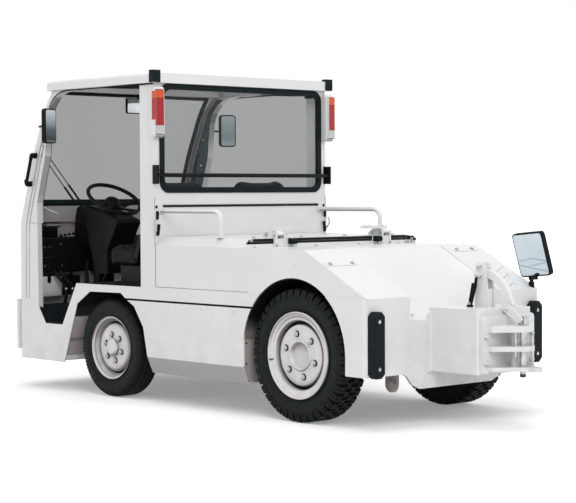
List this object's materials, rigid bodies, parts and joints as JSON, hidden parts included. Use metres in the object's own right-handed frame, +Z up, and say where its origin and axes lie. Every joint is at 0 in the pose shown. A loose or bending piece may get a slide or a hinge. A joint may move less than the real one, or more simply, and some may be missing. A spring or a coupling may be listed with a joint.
{
  "type": "airport baggage tug with an open two-seat cab and rear tow hitch",
  "caption": "Low airport tow tractor with an open-sided cab, a lidded engine deck, steered front wheels and a stacked-plate tow hitch with a lift-out draw pin.",
  "frame": {"origin": "on the ground below the middle of the overall length and width", "axes": "+X forward, +Y to the driver's left, +Z up"},
  "size_m": [3.938, 1.6402, 2.026],
  "materials": {
    "body_paint": "satin",
    "wheel_paint": "satin",
    "chassis_paint": "satin",
    "axle_iron": "matte",
    "spring_steel": "satin",
    "bright_steel": "satin",
    "black_trim": "matte",
    "black_paint": "satin",
    "seat_vinyl": "matte",
    "pad_rubber": "matte",
    "tyre_rubber": "matte",
    "clear_glass": "clear",
    "mirror_glass": "polished",
    "lamp_plastic": "gloss",
    "liner_paint": "matte"
  },
  "bodies": {
    "chassis": {"bump_pads": "pad_rubber", "cab_floor": "liner_paint", "cab_sides": "body_paint", "dash_panels": "black_trim", "engine_block": "axle_iron", "frame_rails": "chassis_paint", "front_axle_beam": "axle_iron", "front_bumper": "body_paint", "front_cowl": "body_paint", "guard_bar": "black_paint", "handrails": "body_paint", "hitch_frame": "body_paint", "hitch_tower": "body_paint", "leaf_springs": "spring_steel", "lid_hinges": "body_paint", "lid_stops": "pad_rubber", "mirror_glasses": "mirror_glass", "mirror_housings": "black_trim", "pedals": "black_paint", "pillar_grips": "black_paint", "rear_axle": "axle_iron", "rear_body": "body_paint", "rear_wall": "body_paint", "release_strut": "black_paint", "roof": "body_paint", "roof_caps": "pad_rubber", "seat_backs": "seat_vinyl", "seat_bases": "black_paint", "seat_cushions": "seat_vinyl", "side_panels": "body_paint", "skirts": "body_paint", "steering_column": "black_trim", "tail_box": "body_paint", "tail_lamp_housings": "body_paint", "tail_lamp_lenses": "lamp_plastic", "wheel_liners": "liner_paint", "window_gasket": "pad_rubber", "window_glass": "clear_glass", "windscreen_frame": "body_paint"},
    "wheel_rear_left": {"rim_rear_left": "wheel_paint", "tyre_rear_left": "tyre_rubber"},
    "wheel_rear_right": {"rim_rear_right": "wheel_paint", "tyre_rear_right": "tyre_rubber"},
    "wheel_front_left": {"rim_front_left": "wheel_paint", "tyre_front_left": "tyre_rubber"},
    "wheel_front_right": {"rim_front_right": "wheel_paint", "tyre_front_right": "tyre_rubber"},
    "knuckle_left": {"knuckle_left": "axle_iron"},
    "knuckle_right": {"knuckle_right": "axle_iron"},
    "tie_rod": {"tie_rod": "chassis_paint"},
    "steering_wheel": {"steering_wheel": "black_trim"},
    "deck_lid": {"deck_lid": "body_paint"},
    "hitch_lever": {"hitch_lever": "body_paint"},
    "hitch_link": {"hitch_link": "body_paint"},
    "hitch_pin": {"hitch_pin": "bright_steel"}
  },
  "joints": [
    {"name": "rear_left_spin", "type": "hinge", "parent": "chassis", "child": "wheel_rear_left", "pos_m": [-0.796, 0.587, 0.375], "axis": [0, 1, 0], "continuous": true},
    {"name": "rear_right_spin", "type": "hinge", "parent": "chassis", "child": "wheel_rear_right", "pos_m": [-0.796, -0.587, 0.375], "axis": [0, 1, 0], "continuous": true},
    {"name": "steer_left", "type": "hinge", "parent": "chassis", "child": "knuckle_left", "pos_m": [0.938, 0.46, 0.311], "axis": [0, 0, 1], "range_deg": [-32, 32]},
    {"name": "steer_right", "type": "hinge", "parent": "chassis", "child": "knuckle_right", "pos_m": [0.938, -0.46, 0.311], "axis": [0, 0, 1], "range_deg": [-32, 32]},
    {"name": "front_left_spin", "type": "hinge", "parent": "knuckle_left", "child": "wheel_front_left", "pos_m": [0.938, 0.5935, 0.311], "axis": [0, 1, 0], "continuous": true},
    {"name": "front_right_spin", "type": "hinge", "parent": "knuckle_right", "child": "wheel_front_right", "pos_m": [0.938, -0.5935, 0.311], "axis": [0, 1, 0], "continuous": true},
    {"name": "tie_rod_swing", "type": "hinge", "parent": "knuckle_left", "child": "tie_rod", "pos_m": [0.798, 0.46, 0.213], "axis": [0, 0, 1], "range_deg": [-32, 32]},
    {"name": "steering_turn", "type": "hinge", "parent": "chassis", "child": "steering_wheel", "pos_m": [1.321, 0.35, 1.245], "axis": [-0.5299, 0, 0.848], "range_deg": [-544, 544]},
    {"name": "lid_open", "type": "hinge", "parent": "chassis", "child": "deck_lid", "pos_m": [-0.392, 0.44, 1.04], "axis": [0, -1, 0], "range_deg": [0, 70]},
    {"name": "release_lever", "type": "hinge", "parent": "chassis", "child": "hitch_lever", "pos_m": [-1.566, 0, 0.831], "axis": [0, 1, 0], "range_deg": [0, 66]},
    {"name": "link_swing", "type": "hinge", "parent": "hitch_lever", "child": "hitch_link", "pos_m": [-1.762, 0.027, 0.652], "axis": [0, 1, 0], "range_deg": [-100.5, 0]},
    {"name": "draw_pin_lift", "type": "slide", "parent": "chassis", "child": "hitch_pin", "axis": [0, 0, 1], "range_m": [0, 0.245]}
  ],
  "couplings": [
    {"joint": "steer_right", "follows": "steer_left", "ratio": 1},
    {"joint": "tie_rod_swing", "follows": "steer_left", "ratio": -1},
    {"joint": "steering_turn", "follows": "steer_left", "ratio": 17},
    {"joint": "link_swing", "follows": "release_lever", "ratio": -1.5227},
    {"joint": "draw_pin_lift", "follows": "release_lever", "m_per_rad": 0.21269}
  ]
}
